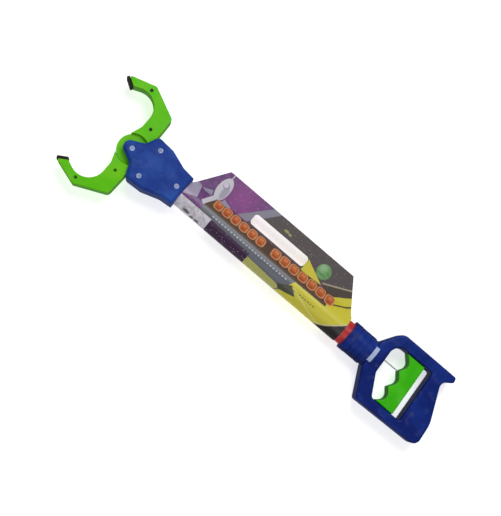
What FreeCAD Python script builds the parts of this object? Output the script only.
"""A toy reaching grabber: a D-shaped trigger handle, a tube and two green hooked claws.

The frame is +X along the tube towards the claws and +Z up out of the broad face.
The origin is on the resting plane under the middle of the tube.  Sizes are in millimetres.
"""
import FreeCAD, Part
import os
import re
import Sketcher

# ---------------------------------------------------------------- driving dimensions
SIZES = {
    # tube and the card wrapped round it
    "tube_length": 300, "tube_radius": 15, "tube_wall": 1.6, "tube_play": 0.1,
    "plug_flange": 2, "plug_spigot": 8, "plug_play": 0.2,
    "card_thick": 0.45, "card_play": 0.4, "fold_gap": 0.02,
    "card_front": 127.6, "card_rear": -114,
    "card_join": 22.5, "flag_edge": 56.5, "flag_front": 100.7, "flag_rear": -85,
    "slot_front": 47.7, "slot_rear": -32.5, "slot_near": 25.2, "slot_far": 38.8, "slot_round": 4,
    # head, measured from the claw pivot
    "axis_height": 18.5, "head_socket": 22, "pivot_reach": 75, "head_bevel": 3.3,
    "nose_x": 20.4, "nose_round": 7.8, "scallop_x": -8, "scallop_y": 14.5, "scallop_round": 6,
    "shoulder_x": -14.6, "shoulder_y": 30, "shoulder_round": 6, "flank_x": -37, "flank_y": 28.7,
    "waist_x": -59, "waist_y": 21.2, "waist_round": 10, "rear_y": 19.6, "head_wall": 3,
    "side_screw_x": -26, "side_screw_y": 19, "rear_screw_x": -66, "boss_radius": 4,
    "rib_thick": 2, "rib_play": 0.4,
    # claws, measured from their pivot
    "claw_half": 11, "claw_play": 0.5, "hub_radius": 18.3, "hub_half": 7, "hub_gap": 0.2,
    "hub_clear": 0.6, "root_x": -14.1, "root_y": 10, "throat_x": 13.3, "throat_y": 13.9,
    "neck_y": 27, "neck_round": 12, "grip_x": 8.5, "grip_corner_y": 71.9, "grip_round": 21.5,
    "tip_x": 46.4, "tip_y": 56.37, "tip_wide": 13.8, "tip_angle": 32.3, "tip_round": 1.5,
    "elbow_x": 25.9, "elbow_y": 73.9, "elbow_round": 3, "heel_x": -12.6, "heel_y": 56,
    "heel_round": 6, "claw_edge": 1.2, "pad_thick": 4, "pad_half": 7.5,
    "pad_round": 1.3,
    "dot_x": -1, "dot_y": 31, "far_dot_x": 27.5, "far_dot_y": 66.3, "dot_radius": 2.1,
    "dot_depth": 3, "dot_shank": 1.1, "dot_head": 1.6,
    # linkage in the head
    "bush_radius": 2.5, "run_play": 0.06, "pin_radius": 1.5, "pin_reach": 5.8, "slot_play": 0.2,
    "pull_travel": 8, "claw_swing": 45, "prong_thick": 3, "prong_half": 5, "prong_play": 0.4,
    "yoke_gap": 4, "yoke_thick": 6,
    "wire_y": -5.4, "wire_radius": 0.8, "wire_hole": 1.3, "ferrule_radius": 2,
    "ferrule_length": 2.6, "spring_radius": 3.6, "spring_wire": 0.5, "spring_turns": 8,
    # screws through the head
    "screw_radius": 1.5, "screw_hole": 1.75, "screw_head": 3, "screw_head_tall": 2,
    "screw_sunk": 0.6, "screw_skin": 1.5, "cross_wide": 0.9, "cross_long": 3.6, "cross_deep": 1.1,
    # handle, measured from the front face of its neck
    "handle_half": 13, "handle_edge": 3, "neck_socket": 28, "neck_radius": 17.2,
    "neck_long": 41, "band_proud": 0.9, "collar_long": 9,
    "band_long": 5.8, "band_pitch": 7, "band_gap": 1, "bands": 3, "wire_way_past": 4,
    "slope_x": -34, "slope_y": 17.5, "brow_x": -49.5, "brow_y": -42.2, "brow_round": 12,
    "spur_top_x": -128.4, "spur_x": -130.2, "spur_y": -35.6, "spur_round": 3,
    "waist_grip_x": -117.6, "waist_grip_y": -27, "waist_grip_round": 8,
    "palm_x": -138.5, "palm_y": 19, "palm_round": 40, "butt_x": -141.6, "butt_y": 49,
    "butt_round": 9, "chin_x": -52.2, "chin_y": 51.8, "chin_round": 4,
    "window_x": -49.5, "window_top": -28.3, "window_front_round": 13, "window_bend_x": -52,
    "window_bend_y": 13, "window_bend_round": 10, "window_low_x": -66.5, "window_low": 38.5,
    "window_low_round": 5, "window_back_x": -107.3, "window_back_round": 3,
    "window_top_back_x": -102.8, "window_top_back_round": 3,
    "grip_wall": 2.6, "hollow_x": -110.8, "hollow_front": -20, "hollow_neck_x": -117,
    "hollow_palm_x": -134.6, "hollow_low": 45.4, "hollow_butt_x": -138.8,
    "brow_screw_x": -61, "rail_screw_y": -35.3, "chin_screw_x": -59, "low_screw_y": 45,
    "back_screw_x": -115.6, "neck_screw_x": -40, "neck_screw_y": 9,
    # trigger, measured from the same face
    "trigger_half": 10, "trigger_gap": 0.5, "trigger_edge": 1.5, "trigger_front_x": -67.5,
    "groove_one_x": -78.5, "groove_one_y": -16.2, "ridge_one_x": -71.6, "ridge_one_y": -5.4,
    "groove_two_x": -80.4, "groove_two_y": 5.6, "ridge_two_x": -72.9, "ridge_two_y": 16.6,
    "groove_three_x": -82.8, "groove_three_y": 28.4, "trigger_low_x": -70.6,
    "groove_round": 8, "ridge_round": 1.8, "trigger_back_top": -93, "trigger_back_low": -97.4,
    "tongue_half": 4, "tongue_front": -84.5, "tongue_back": -91, "tongue_long": 6, "slide_play": 0.5,
    "anchor_front": -83, "anchor_long": 7,
    # plain plate on the neck
    "badge_x": -33.5, "badge_long": 5, "badge_half": 9.6, "badge_proud": 1,
    # how far a cutting shape runs on past what it cuts
    "cut_over": 1,
}

doc = FreeCAD.newDocument("reaching_grabber")
sheet = doc.addObject("Spreadsheet::Sheet", "Sizes")
for row, (alias, value) in enumerate(SIZES.items(), start=1):
    sheet.set(f"A{row}", alias)
    sheet.set(f"B{row}", str(value))
    sheet.setAlias(f"B{row}", alias)
doc.recompute()

# where the head, its pivot, the handle and the resting axis lie along the tube
PIVOT = "(tube_length / 2 - head_socket + pivot_reach)"
TUBE_FRONT = "(tube_length / 2)"
NECK = "(neck_socket - tube_length / 2)"
RELIEF = "(hub_radius + hub_clear)"
CHEEK = "(claw_half + claw_play)"
YOKE_FRONT = "(hub_radius + yoke_gap)"
YOKE_BACK = "(hub_radius + yoke_gap + yoke_thick)"
YOKE_HALF = "(spring_radius + spring_wire - wire_y)"
ROOM = "(axis_height - head_wall)"
FAR = "(tube_length)"

# the least volume that a cut takes away, how level an edge is, and first guesses that the
# solver then drives to their real places
LEAST_CUT = 0.001
LEVEL = 0.0001
FIRST_ROUND = 0.2
FIRST_RADIUS = 1.0
ALIAS = re.compile("|".join(sorted((rf"\b{name}\b" for name in SIZES), key=len, reverse=True)))


def formula(text):
    """Write a formula of plain size names as one that reads the spreadsheet."""
    return ALIAS.sub(lambda found: "Sizes." + found.group(0), text)


def size(alias):
    """Read one size as a number, for shapes that no sketch can hold."""
    return float(sheet.get(alias))


def bind(thing, **formulas):
    """Tie properties of one object to formulas of named sizes."""
    for name, text in formulas.items():
        thing.setExpression(name, formula(text))
    return thing


def place(thing, x="0", y="0", z="0"):
    """Tie where an object stands to formulas, whatever way it is turned."""
    for axis, text in (("x", x), ("y", y), ("z", z)):
        thing.setExpression(f".Placement.Base.{axis}", formula(text))
    return thing


# ---------------------------------------------------------------- sketch and feature helpers
def new_body(label, x="0", z="axis_height", flipped=False):
    """A body whose own frame stands on the tube's axis at x."""
    body = doc.addObject("PartDesign::Body", label)
    if flipped:
        body.Placement.Rotation = FreeCAD.Rotation(FreeCAD.Vector(1, 0, 0), 180)
    return place(body, x, z=z)


def new_sketch(body, name, role="XY_Plane", lift="0"):
    """A sketch on one of the body's own origin planes, lifted along its normal."""
    sketch = body.newObject("Sketcher::SketchObject", name)
    plane = next(f for f in body.Origin.OriginFeatures if f.Role == role)
    sketch.AttachmentSupport = [(plane, "")]
    sketch.MapMode = "FlatFace"
    sketch.setExpression(".AttachmentOffset.Base.z", formula(lift))
    return sketch


def pin_point(sketch, edge, end, x, y):
    """Fix one point of an edge from the sketch's origin with two driven distances."""
    for kind, text, zero_axis in (("DistanceX", x, -2), ("DistanceY", y, -1)):
        if text == "0":
            sketch.addConstraint(Sketcher.Constraint("PointOnObject", edge, end, zero_axis))
            continue
        index = sketch.addConstraint(Sketcher.Constraint(kind, -1, 1, edge, end, FIRST_RADIUS))
        name = f"{kind[-1].lower()}_{edge}"
        sketch.renameConstraint(index, name)
        sketch.setExpression("Constraints." + name, formula(text))


def first_guess(k):
    """A loose place for one point, with no two alike and no three in line."""
    return FreeCAD.Vector(k, k * k + (k % 2) / 2, 0)


def outline(sketch, corners):
    """A closed outline: straight sides between the corners, rounded where a radius is given."""
    count = len(corners)
    for k in range(count):
        side = Part.LineSegment(first_guess(k), first_guess((k + 1) % count))
        sketch.addGeometry(side, False)
    for k in range(count):
        sketch.addConstraint(Sketcher.Constraint("Coincident", k, 2, (k + 1) % count, 1))
    for k, corner in enumerate(corners):
        pin_point(sketch, k, 1, corner[0], corner[1])
    doc.recompute()
    for k, corner in enumerate(corners):
        if len(corner) == 3:
            round_corner(sketch, (k - 1) % count, k, corner[2])
    doc.recompute()
    return sketch


def round_corner(sketch, before, after, radius):
    """Round the corner between two sides with an arc of a driven radius."""
    known = len(sketch.Geometry)
    sides = sketch.Geometry
    sketch.fillet(before, after, sides[before].StartPoint, sides[after].EndPoint, FIRST_ROUND,
                  True, True)
    arcs = range(known, len(sketch.Geometry))
    arc = next(k for k in arcs if isinstance(sketch.Geometry[k], Part.ArcOfCircle))
    index = sketch.addConstraint(Sketcher.Constraint("Radius", arc, FIRST_ROUND))
    sketch.renameConstraint(index, f"round_{after}")
    sketch.setExpression(f"Constraints.round_{after}", formula(radius))


def circles(sketch, radius, *centres):
    """Round profiles of one driven radius about driven centres."""
    up = FreeCAD.Vector(0, 0, 1)
    for k, (x, y) in enumerate(centres):
        sketch.addGeometry(Part.Circle(first_guess(k), up, FIRST_RADIUS), False)
        pin_point(sketch, k, 3, x, y)
        index = sketch.addConstraint(Sketcher.Constraint("Radius", k, FIRST_RADIUS))
        sketch.renameConstraint(index, f"radius_{k}")
        sketch.setExpression(f"Constraints.radius_{k}", formula(radius))
    return sketch


def rectangle(sketch, x_low, x_high, y_low, y_high):
    """A square-cornered outline between two driven corners."""
    return outline(sketch, [(x_low, y_low), (x_high, y_low), (x_high, y_high), (x_low, y_high)])


def pad(body, sketch, length, reverse=False):
    """Grow a sketch into the body, away from its plane."""
    feature = body.newObject("PartDesign::Pad", sketch.Name + "_pad")
    feature.Profile = sketch
    feature.Reversed = reverse
    bind(feature, Length=length)
    doc.recompute()
    return feature


def pocket(body, sketch, length, reverse=False):
    """Cut a sketch out of the body and make sure that material went."""
    before = body.Shape.Volume
    feature = body.newObject("PartDesign::Pocket", sketch.Name + "_pocket")
    feature.Profile = sketch
    feature.Reversed = reverse
    bind(feature, Length=length)
    doc.recompute()
    if body.Shape.Volume > before - LEAST_CUT:
        raise ValueError(f"{body.Name}: {sketch.Name} cuts nothing")
    return feature


def edges_at(shape, height):
    """Names of the edges that lie flat at one height of the body's own frame."""
    names = []
    for number, edge in enumerate(shape.Edges, start=1):
        box = edge.BoundBox
        if abs(box.ZMin - height) < LEVEL and abs(box.ZMax - height) < LEVEL:
            names.append(f"Edge{number}")
    return names


def soften(body, base, kind, height, amount):
    """Round or bevel all the edges of a feature's flat face at one height."""
    feature = body.newObject(f"PartDesign::{kind}", f"{body.Name}_{kind.lower()}")
    feature.Base = (base, edges_at(base.Shape, height))
    bind(feature, **{"Radius" if kind == "Fillet" else "Size": amount})
    doc.recompute()
    return feature


def across_tube(corners):
    """The same corners on the other side of the tube's axis."""
    return [(c[0], f"-({c[1]})") + tuple(c[2:]) for c in corners]


def both_ways(corners):
    """Corners of one side and, in reverse order, of its mirror image across the tube's axis."""
    return corners + across_tube([c for c in reversed(corners) if c[1] != "0"])


def primitive(kind, name, **formulas):
    """A Part primitive with its sizes tied to formulas."""
    return bind(doc.addObject(f"Part::{kind}", name), **formulas)


def turn(thing, axis, angle):
    """Turn an object about its own origin."""
    thing.Placement.Rotation = FreeCAD.Rotation(FreeCAD.Vector(*axis), angle)
    return thing


def combine(kind, label, shapes):
    """Fuse, cut or group finished shapes into one object."""
    result = doc.addObject(f"Part::{kind}", label)
    if kind == "Cut":
        result.Base, result.Tool = shapes
    elif kind == "Compound":
        result.Links = shapes
    else:
        result.Shapes = shapes
    return result


SUBPARTS = {}


def finish(label, thing):
    """Give a finished object the name of its sub-part."""
    thing.Label = label
    SUBPARTS[label] = thing
    return thing


# ---------------------------------------------------------------- tube, plugs and card
def build_tube():
    """Plain tube with one cross hole for the head's rear screw."""
    body = new_body("tube_body", x=f"-{TUBE_FRONT}")
    pad(body, circles(new_sketch(body, "tube_outside", "YZ_Plane"), "tube_radius", ("0", "0")),
        "tube_length")
    inside = circles(new_sketch(body, "tube_inside", "YZ_Plane"), "tube_radius - tube_wall",
                     ("0", "0"))
    pocket(body, inside, "tube_length", reverse=True)
    across = new_sketch(body, "tube_cross_hole", "XY_Plane", lift="-tube_radius")
    hole_x = "tube_length - head_socket + pivot_reach + rear_screw_x"
    circles(across, "screw_hole", (hole_x, "0"))
    pocket(body, across, "2 * tube_radius", reverse=True)
    finish("red_tube", body)


def build_plug(label, x, forward):
    """Flanged plug that closes one end of the tube and guides the pull wire."""
    body = new_body(label + "_body", x=x)
    flange = circles(new_sketch(body, label + "_flange", "YZ_Plane"), "tube_radius - tube_play",
                     ("0", "0"))
    pad(body, flange, "plug_flange", reverse=not forward)
    spigot = circles(new_sketch(body, label + "_spigot", "YZ_Plane"),
                     "tube_radius - tube_wall - plug_play", ("0", "0"))
    pad(body, spigot, "plug_spigot", reverse=forward)
    hole = new_sketch(body, label + "_hole", "YZ_Plane", lift="-plug_spigot - plug_flange")
    circles(hole, "wire_hole", ("wire_y", "0"))
    pocket(body, hole, "2 * (plug_spigot + plug_flange)", reverse=True)
    finish(label, body)


def build_card():
    """Folded display card: a loop round the tube whose two layers meet in a flat flag."""
    body = new_body("card_body", x="card_rear")
    around = {"outer": "(tube_radius + card_play + card_thick)",
              "inner": "(tube_radius + card_play)"}

    def loop(layer, skin, far):
        """Circle and wedge of one face of the card, the wedge running out to far."""
        radius = around[layer]
        ring = circles(new_sketch(body, f"card_{layer}_round", "YZ_Plane"), radius, ("0", "0"))
        touch_y = f"-{radius} * {radius} / card_join"
        touch_z = f"{radius} * sqrt(1 - ({radius} / card_join) * ({radius} / card_join))"
        half = [(touch_y, touch_z), ("-card_join", skin)]
        if far:
            half.append((f"-{far}", skin))
        corners = half + [(y, f"-({z})") for y, z in reversed(half)]
        return ring, outline(new_sketch(body, f"card_{layer}_wedge", "YZ_Plane"), corners)

    length = "card_front - card_rear"
    for sketch in loop("outer", "card_thick", "flag_edge"):
        pad(body, sketch, length)
    for sketch in loop("inner", "fold_gap", ""):
        pocket(body, sketch, length, reverse=True)
    trim = new_sketch(body, "card_front_trim", lift="-tube_radius")
    front, rear = "card_front - card_rear", "0"
    edge = "-flag_edge - cut_over"
    near = "-(tube_radius + card_play + card_thick)"
    outline(trim, [(front, near), (f"{front} + cut_over", near), (f"{front} + cut_over", edge),
                   ("flag_front - card_rear", edge)])
    pocket(body, trim, "2 * tube_radius", reverse=True)
    back = new_sketch(body, "card_rear_trim", lift="-tube_radius")
    outline(back, [(rear, near), ("flag_rear - card_rear", edge),
                   ("-cut_over", edge), ("-cut_over", near)])
    pocket(body, back, "2 * tube_radius", reverse=True)
    slot = new_sketch(body, "card_slot", lift="-tube_radius")
    low, high = "slot_rear - card_rear", "slot_front - card_rear"
    outline(slot, [(low, "-slot_far", "slot_round"), (high, "-slot_far", "slot_round"),
                   (high, "-slot_near", "slot_round"), (low, "-slot_near", "slot_round")])
    pocket(body, slot, "2 * tube_radius", reverse=True)
    finish("display_card", body)


# ---------------------------------------------------------------- head
HEAD_SCREWS = [("0", "0"), ("side_screw_x", "side_screw_y"), ("side_screw_x", "-side_screw_y"),
               ("rear_screw_x", "0")]


def build_head(label, upper):
    """One clamshell half of the head, hollow for the yoke and open in front for the claws."""
    body = new_body(label + "_body", x=PIVOT)
    side = [("nose_x", "0", "nose_round"), ("scallop_x", "scallop_y", "scallop_round"),
            ("shoulder_x", "shoulder_y", "shoulder_round"), ("flank_x", "flank_y", "waist_round"),
            ("waist_x", "waist_y", "waist_round"), ("-pivot_reach", "rear_y")]
    shell = pad(body, outline(new_sketch(body, label + "_outline"), both_ways(side)),
                "axis_height", reverse=not upper)
    top = size("axis_height") if upper else -size("axis_height")
    soften(body, shell, "Chamfer", top, "head_bevel")
    mouth = rectangle(new_sketch(body, label + "_mouth"), "shoulder_x - claw_play",
                      "nose_x + cut_over", "-shoulder_y - cut_over", "shoulder_y + cut_over")
    pocket(body, mouth, CHEEK, reverse=upper)
    hub = circles(new_sketch(body, label + "_hub_room"), RELIEF, ("0", "0"))
    pocket(body, hub, CHEEK, reverse=upper)
    room = outline(new_sketch(body, label + "_room"), both_ways([
        ("shoulder_x - claw_play - head_wall", "flank_y - head_wall"),
        ("flank_x", "flank_y - head_wall"),
        ("head_socket + plug_flange - pivot_reach", "waist_y - head_wall / 2")]))
    pocket(body, room, ROOM, reverse=upper)
    socket = new_sketch(body, label + "_socket", "YZ_Plane", lift="-pivot_reach - cut_over")
    circles(socket, "tube_radius + tube_play", ("0", "0"))
    pocket(body, socket, "head_socket + plug_flange + tube_play + cut_over", reverse=True)
    bosses = circles(new_sketch(body, label + "_bosses"), "boss_radius", *HEAD_SCREWS[1:3])
    pad(body, bosses, ROOM, reverse=not upper)
    for hand, sign in (("left", ""), ("right", "-")):
        low = f"{sign}({YOKE_HALF} + rib_play)"
        high = f"{sign}({YOKE_HALF} + rib_play + rib_thick)"
        rib = rectangle(new_sketch(body, f"{label}_{hand}_rib"), f"-{YOKE_BACK} - pull_travel",
                        "-hub_radius - yoke_gap / 2", low, high)
        pad(body, rib, ROOM, reverse=not upper)
    holes = circles(new_sketch(body, label + "_holes"),
                    "screw_hole" if upper else "screw_radius", *HEAD_SCREWS)
    pocket(body, holes, "axis_height" if upper else "axis_height - screw_skin + tube_play",
           reverse=upper)
    if upper:
        sunk = circles(new_sketch(body, label + "_recesses", lift="axis_height"),
                       "screw_head + tube_play", *HEAD_SCREWS)
        pocket(body, sunk, "screw_sunk + screw_head_tall")
    finish(label, body)


def build_screw(name, x, y, head_z, length, down, radius, head_radius, head_tall):
    """Pan-head screw with a cross recess, its head's outer face at head_z."""
    lower = {True: (f"{head_z} - {head_tall}", f"{head_z} - {length}"),
             False: (head_z, f"{head_z} + {head_tall} / 2")}[down]
    head = place(primitive("Cylinder", name + "_head", Radius=head_radius, Height=head_tall),
                 x, y, lower[0])
    shank_length = f"{length} - {head_tall} / 2"
    shank = place(primitive("Cylinder", name + "_shank", Radius=radius, Height=shank_length),
                  x, y, lower[1])
    screw = combine("MultiFuse", name + "_blank", [head, shank])
    cross = []
    for number, (long, wide) in enumerate([("cross_long", "cross_wide"),
                                           ("cross_wide", "cross_long")]):
        box = primitive("Box", f"{name}_cross_{number}", Length=f"{long} * {head_radius} / screw_head",
                        Width=f"{wide} * {head_radius} / screw_head",
                        Height=f"2 * cross_deep * {head_tall} / screw_head_tall")
        scale = f"{head_radius} / screw_head / 2"
        depth = f"cross_deep * {head_tall} / screw_head_tall"
        place(box, f"{x} - {long} * {scale}", f"{y} - {wide} * {scale}", f"{head_z} - {depth}")
        cross.append(box)
    recess = combine("MultiFuse", name + "_recess", cross)
    return combine("Cut", name, [screw, recess])


def build_head_screws():
    """Four equal screws sunk in the upper shell, the front one through the claw pivot."""
    screws = [build_screw(f"head_screw_{n}", f"{PIVOT} + {x}", y,
                          "2 * axis_height - screw_sunk",
                          "(2 * axis_height - screw_sunk - screw_skin)", True,
                          "screw_radius", "screw_head", "screw_head_tall")
              for n, (x, y) in enumerate(HEAD_SCREWS)]
    finish("head_screws", combine("Compound", "head_screw_set", screws))


def ring(label, x, y, z, length, outer, inner, along_x=False):
    """Plain sleeve between two coaxial cylinders."""
    parts = []
    for name, radius in (("outside", outer), ("inside", inner)):
        cylinder = primitive("Cylinder", f"{label}_{name}", Radius=radius, Height=length)
        if along_x:
            turn(cylinder, (0, 1, 0), 90)
        parts.append(place(cylinder, x, y, z))
    return combine("Cut", label + "_sleeve", parts)


# ---------------------------------------------------------------- claws
def cam_slot(name, grow):
    """Slot that the drive pin follows.  The pin draws straight back while the claw turns in
    proportion, so in the claw's own frame its path is a spiral, drawn here as two arcs."""
    def pin_at(share):
        reach = size("pin_reach") + share * size("pull_travel")
        turned = FreeCAD.Rotation(FreeCAD.Vector(0, 0, 1), -share * size("claw_swing"))
        return turned.multVec(FreeCAD.Vector(-reach, 0, 0))

    half = 1 / 2
    arcs = [Part.Arc(pin_at(low), pin_at(low + half / 2), pin_at(low + half)).toShape()
            for low in (0, half)]
    flat = Part.Wire(arcs).makeOffset2D(grow, 0, False, False)
    deep = size("hub_half") * 2
    solid = Part.Face(flat).extrude(FreeCAD.Vector(0, 0, deep))
    solid.translate(FreeCAD.Vector(0, 0, -deep / 2))
    tool = doc.addObject("Part::Feature", name)
    tool.Shape = solid
    return tool


def build_claw_half(label, with_hub, flipped):
    """Half of a hooked claw; the half with the hub carries the pivot bore and the cam slot."""
    body = new_body(label + "_body", x=PIVOT, flipped=flipped)
    upward = with_hub
    far_x, far_y = "tip_x + tip_wide * cos(tip_angle)", "tip_y + tip_wide * sin(tip_angle)"
    arm = outline(new_sketch(body, label + "_arm"), across_tube([
        ("root_x", "root_y"), ("throat_x", "throat_y"), ("grip_x", "neck_y", "neck_round"),
        ("grip_x", "grip_corner_y", "grip_round"), ("tip_x", "tip_y"),
        (far_x, far_y, "tip_round"),
        ("elbow_x", "elbow_y", "elbow_round"), ("heel_x", "heel_y", "heel_round")]))
    blank = pad(body, arm, "claw_half", reverse=not upward)
    face = size("claw_half") if upward else -size("claw_half")
    soften(body, blank, "Fillet", face, "claw_edge")
    if with_hub:
        above = circles(new_sketch(body, label + "_relief", lift="hub_half"), RELIEF, ("0", "0"))
        pocket(body, above, "claw_half", reverse=True)
        gap = circles(new_sketch(body, label + "_gap"), RELIEF, ("0", "0"))
        pocket(body, gap, "hub_gap", reverse=True)
        hub = circles(new_sketch(body, label + "_hub", lift="hub_gap"), "hub_radius", ("0", "0"))
        pad(body, hub, "hub_half - hub_gap")
        bore = circles(new_sketch(body, label + "_bore"), "bush_radius + run_play", ("0", "0"))
        pocket(body, bore, "claw_half", reverse=True)
    else:
        relief = circles(new_sketch(body, label + "_relief"), RELIEF, ("0", "0"))
        pocket(body, relief, "claw_half")
    dots = across_tube([("dot_x", "dot_y"), ("far_dot_x", "far_dot_y")])
    holes = circles(new_sketch(body, label + "_holes"), "dot_shank", *dots)
    pocket(body, holes, "claw_half", reverse=upward)
    lift = "claw_half" if upward else "-claw_half"
    sunk = circles(new_sketch(body, label + "_dots", lift=lift), "dot_radius", *dots)
    pocket(body, sunk, "dot_depth", reverse=not upward)
    if not with_hub:
        return finish(label, body)
    tool = cam_slot(label + "_slot", size("pin_radius") + size("slot_play"))
    if flipped:
        turn(tool, (1, 0, 0), 180)
    place(tool, PIVOT, z="axis_height")
    return finish(label, combine("Cut", label + "_cut", [body, tool]))


def build_claw_pad(label, flipped):
    """Rubber pad on the claw's end face."""
    body = new_body(label + "_body", x=PIVOT, flipped=flipped)
    out_x, out_y = "pad_thick * sin(tip_angle)", "-pad_thick * cos(tip_angle)"
    far_x, far_y = "tip_x + tip_wide * cos(tip_angle)", "tip_y + tip_wide * sin(tip_angle)"
    sketch = outline(new_sketch(body, label + "_face", lift="-pad_half"), across_tube([
        ("tip_x", "tip_y"), (f"tip_x + {out_x}", f"tip_y {out_y}", "pad_round"),
        (f"{far_x} + {out_x}", f"{far_y} {out_y}", "pad_round"), (far_x, far_y)]))
    pad(body, sketch, "2 * pad_half")
    finish(label, body)


def build_claw_screws(label, flipped):
    """The two small screws that hold one claw's halves together."""
    screws = []
    sign = "" if flipped else "-"
    for n, (x, y) in enumerate([("dot_x", "dot_y"), ("far_dot_x", "far_dot_y")]):
        if flipped:
            head_z = "axis_height - claw_half + dot_depth - dot_head"
        else:
            head_z = "axis_height + claw_half - dot_depth + dot_head"
        length = "(2 * claw_half - 2 * dot_depth + dot_head)"
        screws.append(build_screw(f"{label}_{n}", f"{PIVOT} + {x}", f"{sign}({y})", head_z, length,
                                  not flipped, "dot_shank", "dot_radius - tube_play", "dot_head"))
    finish(label, combine("Compound", label + "_set", screws))


# ---------------------------------------------------------------- linkage
def build_yoke():
    """Forked pull block: two prongs carry the drive pin over and under the stacked hubs."""
    body = new_body("yoke_body", x=PIVOT)
    tall = "(hub_half + prong_play + prong_thick)"
    block = rectangle(new_sketch(body, "yoke_block", lift=f"-{tall}"), f"-{YOKE_BACK}",
                      f"-{YOKE_FRONT}", f"-{YOKE_HALF}", YOKE_HALF)
    pad(body, block, f"2 * {tall}")
    for name, lift in (("upper", "hub_half + prong_play"), ("lower", f"-{tall}")):
        prong = rectangle(new_sketch(body, f"yoke_{name}_prong", lift=lift),
                          f"-{YOKE_FRONT} - yoke_thick / 2",
                          "-pin_reach + bush_radius", "-prong_half", "prong_half")
        pad(body, prong, "prong_thick")
    eye = circles(new_sketch(body, "yoke_eye", lift=f"-{tall}"), "pin_radius", ("-pin_reach", "0"))
    pocket(body, eye, f"2 * {tall}", reverse=True)
    bore = new_sketch(body, "yoke_bore", "YZ_Plane", lift=f"-{YOKE_BACK} - cut_over")
    circles(bore, "wire_radius", ("wire_y", "0"))
    pocket(body, bore, "yoke_thick + 2 * cut_over", reverse=True)
    finish("pull_yoke", body)


def build_linkage():
    """Pivot bush, drive pin, pull wire with its two ferrules and the return spring."""
    finish("pivot_bush", ring("pivot_bush", PIVOT, "0", f"axis_height - {CHEEK}",
                              f"2 * {CHEEK}", "bush_radius", "screw_radius"))
    tall = "(hub_half + prong_play + prong_thick)"
    pin = primitive("Cylinder", "drive_pin_round", Radius="pin_radius", Height=f"2 * {tall}")
    finish("drive_pin", place(pin, f"{PIVOT} - pin_reach", z=f"axis_height - {tall}"))
    build_yoke()
    rear = f"({NECK} + anchor_front - anchor_long + slide_play)"
    front = f"({PIVOT} - {YOKE_FRONT} + ferrule_length)"
    wire = primitive("Cylinder", "wire_round", Radius="wire_radius", Height=f"{front} - {rear}")
    turn(wire, (0, 1, 0), 90)
    finish("pull_wire", place(wire, rear, "wire_y", "axis_height"))
    finish("front_ferrule", ring("front_ferrule", f"{PIVOT} - {YOKE_FRONT}", "wire_y",
                                 "axis_height", "ferrule_length", "ferrule_radius",
                                 "wire_radius", along_x=True))
    finish("rear_ferrule", ring("rear_ferrule", rear, "wire_y", "axis_height",
                                "anchor_long - 2 * slide_play", "ferrule_radius", "wire_radius",
                                along_x=True))
    seat = f"({TUBE_FRONT} + plug_flange)"
    room = f"({PIVOT} - {YOKE_BACK} - {seat})"
    coil = primitive("Helix", "spring_line", Radius="spring_radius",
                     Height=f"{room} - 2 * spring_wire - tube_play",
                     Pitch=f"({room} - 2 * spring_wire - tube_play) / spring_turns")
    turn(coil, (0, 1, 0), 90)
    place(coil, f"{seat} + spring_wire + tube_play / 2", "wire_y", "axis_height")
    profile = primitive("Circle", "spring_section", Radius="spring_wire")
    profile.Placement = FreeCAD.Placement(FreeCAD.Vector(), FreeCAD.Rotation(
        FreeCAD.Vector(0, 0, 1), FreeCAD.Vector(0, 1, 0)))
    place(profile, f"{seat} + spring_wire + tube_play / 2", "wire_y",
          "axis_height - spring_radius")
    spring = doc.addObject("Part::Sweep", "spring_sweep")
    doc.recompute()
    spring.Sections = [profile]
    spring.Spine = (coil, [f"Edge{n}" for n in range(1, len(coil.Shape.Edges) + 1)])
    spring.Solid = True
    spring.Frenet = True
    finish("return_spring", spring)


# ---------------------------------------------------------------- handle
HANDLE_SCREWS = [("brow_screw_x", "rail_screw_y"), ("back_screw_x", "rail_screw_y"),
                 ("chin_screw_x", "low_screw_y"), ("back_screw_x", "low_screw_y - boss_radius"),
                 ("neck_screw_x", "neck_screw_y")]


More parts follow.
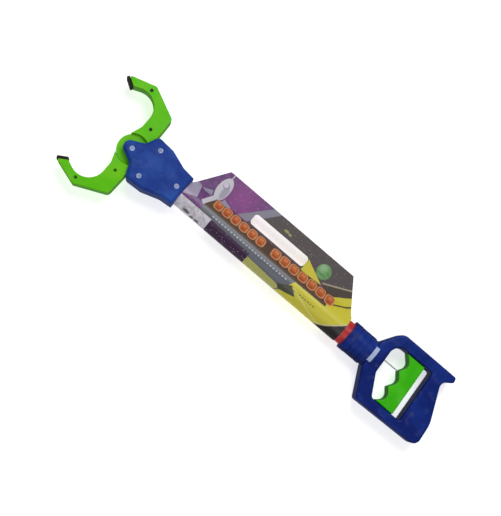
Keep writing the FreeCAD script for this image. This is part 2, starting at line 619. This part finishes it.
def build_handle(label, upper):
    """One half of the D handle with its neck; the trigger's tongues slide in both rails."""
    body = new_body(label + "_body", x=NECK)
    frame = outline(new_sketch(body, label + "_outline"), [
        ("slope_x", "-slope_y"), ("brow_x", "brow_y", "brow_round"), ("spur_top_x", "brow_y",
                                                                     "spur_round"),
        ("spur_x", "spur_y", "spur_round"), ("waist_grip_x", "waist_grip_y", "waist_grip_round"),
        ("palm_x", "palm_y", "palm_round"), ("butt_x", "butt_y", "butt_round"),
        ("chin_x", "chin_y", "chin_round"), ("slope_x", "slope_y")])
    blank = pad(body, frame, "handle_half", reverse=not upper)
    window = outline(new_sketch(body, label + "_window"), [
        ("window_x", "window_top", "window_front_round"),
        ("window_bend_x", "window_bend_y", "window_bend_round"),
        ("window_low_x", "window_low", "window_low_round"),
        ("window_back_x", "window_low", "window_back_round"),
        ("window_top_back_x", "window_top", "window_top_back_round")])
    opened = pocket(body, window, "handle_half", reverse=upper)
    top = size("handle_half") if upper else -size("handle_half")
    soften(body, opened, "Fillet", top, "handle_edge")
    neck = circles(new_sketch(body, label + "_neck", "YZ_Plane"), "neck_radius", ("0", "0"))
    pad(body, neck, "neck_long", reverse=True)
    collar = circles(new_sketch(body, label + "_collar", "YZ_Plane"),
                     "axis_height", ("0", "0"))
    pad(body, collar, "collar_long", reverse=True)
    for n in range(int(size("bands"))):
        lift = f"-collar_long - band_gap - {n} * band_pitch"
        band = new_sketch(body, f"{label}_band_{n}", "YZ_Plane", lift=lift)
        circles(band, "neck_radius + band_proud", ("0", "0"))
        pad(body, band, "band_long", reverse=True)
    half = rectangle(new_sketch(body, label + "_parting"), FAR, f"-{FAR}", f"-{FAR}", FAR)
    pocket(body, half, "2 * neck_radius", reverse=not upper)
    socket = circles(new_sketch(body, label + "_socket", "YZ_Plane", lift="cut_over"),
                     "tube_radius + tube_play", ("0", "0"))
    pocket(body, socket, "neck_socket + plug_flange + tube_play + cut_over")
    wire = circles(new_sketch(body, label + "_wire_way", "YZ_Plane"), "wire_hole", ("wire_y", "0"))
    pocket(body, wire, "-window_x + wire_way_past")
    for rail, near, far in (
            ("flag", "window_top + cut_over", "window_top - tongue_long"),
            ("low", "window_low - cut_over", "window_low + tongue_long")):
        way = rectangle(new_sketch(body, f"{label}_{rail}_way"), "tongue_front + slide_play",
                        "tongue_back - pull_travel - slide_play", near, far)
        pocket(body, way, "tongue_half + slide_play / 2", reverse=upper)
    hollow = outline(new_sketch(body, label + "_hollow"), [
        ("hollow_x", "hollow_front"), ("hollow_neck_x", "hollow_front"),
        ("hollow_palm_x", "palm_y"), ("hollow_butt_x", "hollow_low"),
        ("hollow_x", "hollow_low")])
    pocket(body, hollow, "handle_half - grip_wall", reverse=upper)
    boss = circles(new_sketch(body, label + "_boss"), "boss_radius", HANDLE_SCREWS[3])
    pad(body, boss, "handle_half - grip_wall / 2", reverse=not upper)
    holes = circles(new_sketch(body, label + "_holes"),
                    "screw_radius" if upper else "screw_hole", *HANDLE_SCREWS)
    pocket(body, holes, "handle_half - grip_wall" if upper else "handle_half", reverse=upper)
    if not upper:
        sunk = circles(new_sketch(body, label + "_recesses", lift="-handle_half"),
                       "screw_head + tube_play", *HANDLE_SCREWS[:4])
        pocket(body, sunk, "screw_sunk + screw_head_tall", reverse=True)
        neck_sunk = circles(new_sketch(body, label + "_neck_recess", lift="-tube_radius * 2"),
                            "screw_head + tube_play", HANDLE_SCREWS[4])
        pocket(body, neck_sunk, "2 * tube_radius - handle_half + screw_sunk + screw_head_tall",
               reverse=True)
    finish(label, body)


def build_handle_screws():
    """Equal screws driven up from the underside of the handle."""
    screws = [build_screw(f"handle_screw_{n}", f"{NECK} + {x}", y,
                          "axis_height - handle_half + screw_sunk",
                          "(2 * handle_half - screw_sunk - grip_wall - tube_play)", False,
                          "screw_radius", "screw_head", "screw_head_tall")
              for n, (x, y) in enumerate(HANDLE_SCREWS)]
    finish("handle_screws", combine("Compound", "handle_screw_set", screws))


def build_trigger():
    """Sliding trigger with three finger grooves, a tongue at each end and the wire's anchor."""
    body = new_body("trigger_body", x=NECK)
    top, low = "window_top + trigger_gap", "window_low - trigger_gap"
    profile = outline(new_sketch(body, "trigger_outline", lift="-trigger_half"), [
        ("trigger_front_x", top), ("groove_one_x", "groove_one_y", "groove_round"),
        ("ridge_one_x", "ridge_one_y", "ridge_round"),
        ("groove_two_x", "groove_two_y", "groove_round"),
        ("ridge_two_x", "ridge_two_y", "ridge_round"),
        ("groove_three_x", "groove_three_y", "groove_round"),
        ("trigger_low_x", low), ("trigger_back_low", low, "trigger_edge"),
        ("trigger_back_top", top, "trigger_edge")])
    blank = pad(body, profile, "2 * trigger_half")
    rounded = body.newObject("PartDesign::Fillet", "trigger_rounding")
    half = size("trigger_half")
    names = edges_at(blank.Shape, half) + edges_at(blank.Shape, -half)
    rounded.Base = (blank, names)
    bind(rounded, Radius="trigger_edge")
    tongue = rectangle(new_sketch(body, "trigger_tongue", lift="-tongue_half"), "tongue_front",
                       "tongue_back", "window_top - tongue_long + slide_play",
                       "window_low + tongue_long - slide_play")
    pad(body, tongue, "2 * tongue_half")
    anchor = new_sketch(body, "trigger_anchor", "YZ_Plane", lift="anchor_front")
    circles(anchor, "ferrule_radius + tube_play", ("wire_y", "0"))
    pocket(body, anchor, "anchor_long")
    drop = rectangle(new_sketch(body, "trigger_drop"), "anchor_front", "anchor_front - anchor_long",
                     "wire_y - ferrule_radius - tube_play", "wire_y + ferrule_radius + tube_play")
    pocket(body, drop, "trigger_half")
    hole = circles(new_sketch(body, "trigger_wire_hole", "YZ_Plane", lift="trigger_front_x"),
                   "wire_radius", ("wire_y", "0"))
    pocket(body, hole, "trigger_front_x - anchor_front + cut_over")
    finish("trigger", body)


def build_badge():
    """Blank plate let into the top of the neck."""
    body = new_body("badge_body", x=f"{NECK} + badge_x")
    outer = circles(new_sketch(body, "badge_outside", "YZ_Plane"), "neck_radius + badge_proud",
                    ("0", "0"))
    pad(body, outer, "badge_long", reverse=True)
    inner = circles(new_sketch(body, "badge_inside", "YZ_Plane"), "neck_radius", ("0", "0"))
    pocket(body, inner, "badge_long")
    away = new_sketch(body, "badge_sides", "YZ_Plane")
    wide = "neck_radius + badge_proud + cut_over"
    outline(away, [("-badge_half", wide), ("-badge_half", "0"), ("badge_half", "0"),
                   ("badge_half", wide), (wide, wide), (wide, f"-({wide})"),
                   (f"-({wide})", f"-({wide})"), (f"-({wide})", wide)])
    pocket(body, away, "badge_long")
    finish("neck_badge", body)


# ---------------------------------------------------------------- the whole grabber
build_tube()
build_plug("front_tube_plug", TUBE_FRONT, forward=True)
build_plug("rear_tube_plug", f"-{TUBE_FRONT}", forward=False)
build_card()
build_head("head_top_shell", upper=True)
build_head("head_bottom_shell", upper=False)
build_head_screws()
for hand, turned in (("right", False), ("left", True)):
    build_claw_half(f"{hand}_claw", with_hub=True, flipped=turned)
    build_claw_half(f"{hand}_claw_cover", with_hub=False, flipped=turned)
    build_claw_pad(f"{hand}_claw_pad", flipped=turned)
    build_claw_screws(f"{hand}_claw_screws", flipped=turned)
build_linkage()
build_handle("handle_top_shell", upper=True)
build_handle("handle_bottom_shell", upper=False)
build_handle_screws()
build_trigger()
build_badge()
doc.recompute()

# ---------------------------------------------------------------- checks and export
faults = [f"{thing.Name}: {thing.State}" for thing in doc.Objects
          if "Invalid" in thing.State or "Error" in thing.State]
for label, thing in SUBPARTS.items():
    if thing.Shape.isNull() or not thing.Shape.isValid() or not thing.Shape.Solids:
        faults.append(f"{label}: bad shape")
if faults:
    raise ValueError("; ".join(faults))

os.makedirs("parts", exist_ok=True)
for label, thing in SUBPARTS.items():
    thing.Shape.exportStep(f"parts/{label}.step")
    box = thing.Shape.BoundBox
    print(f"{label:22s} solids {len(thing.Shape.Solids)}  volume {thing.Shape.Volume:9.1f}  "
          f"x {box.XMin:7.1f} {box.XMax:7.1f}  y {box.YMin:6.1f} {box.YMax:6.1f}  "
          f"z {box.ZMin:5.1f} {box.ZMax:5.1f}")
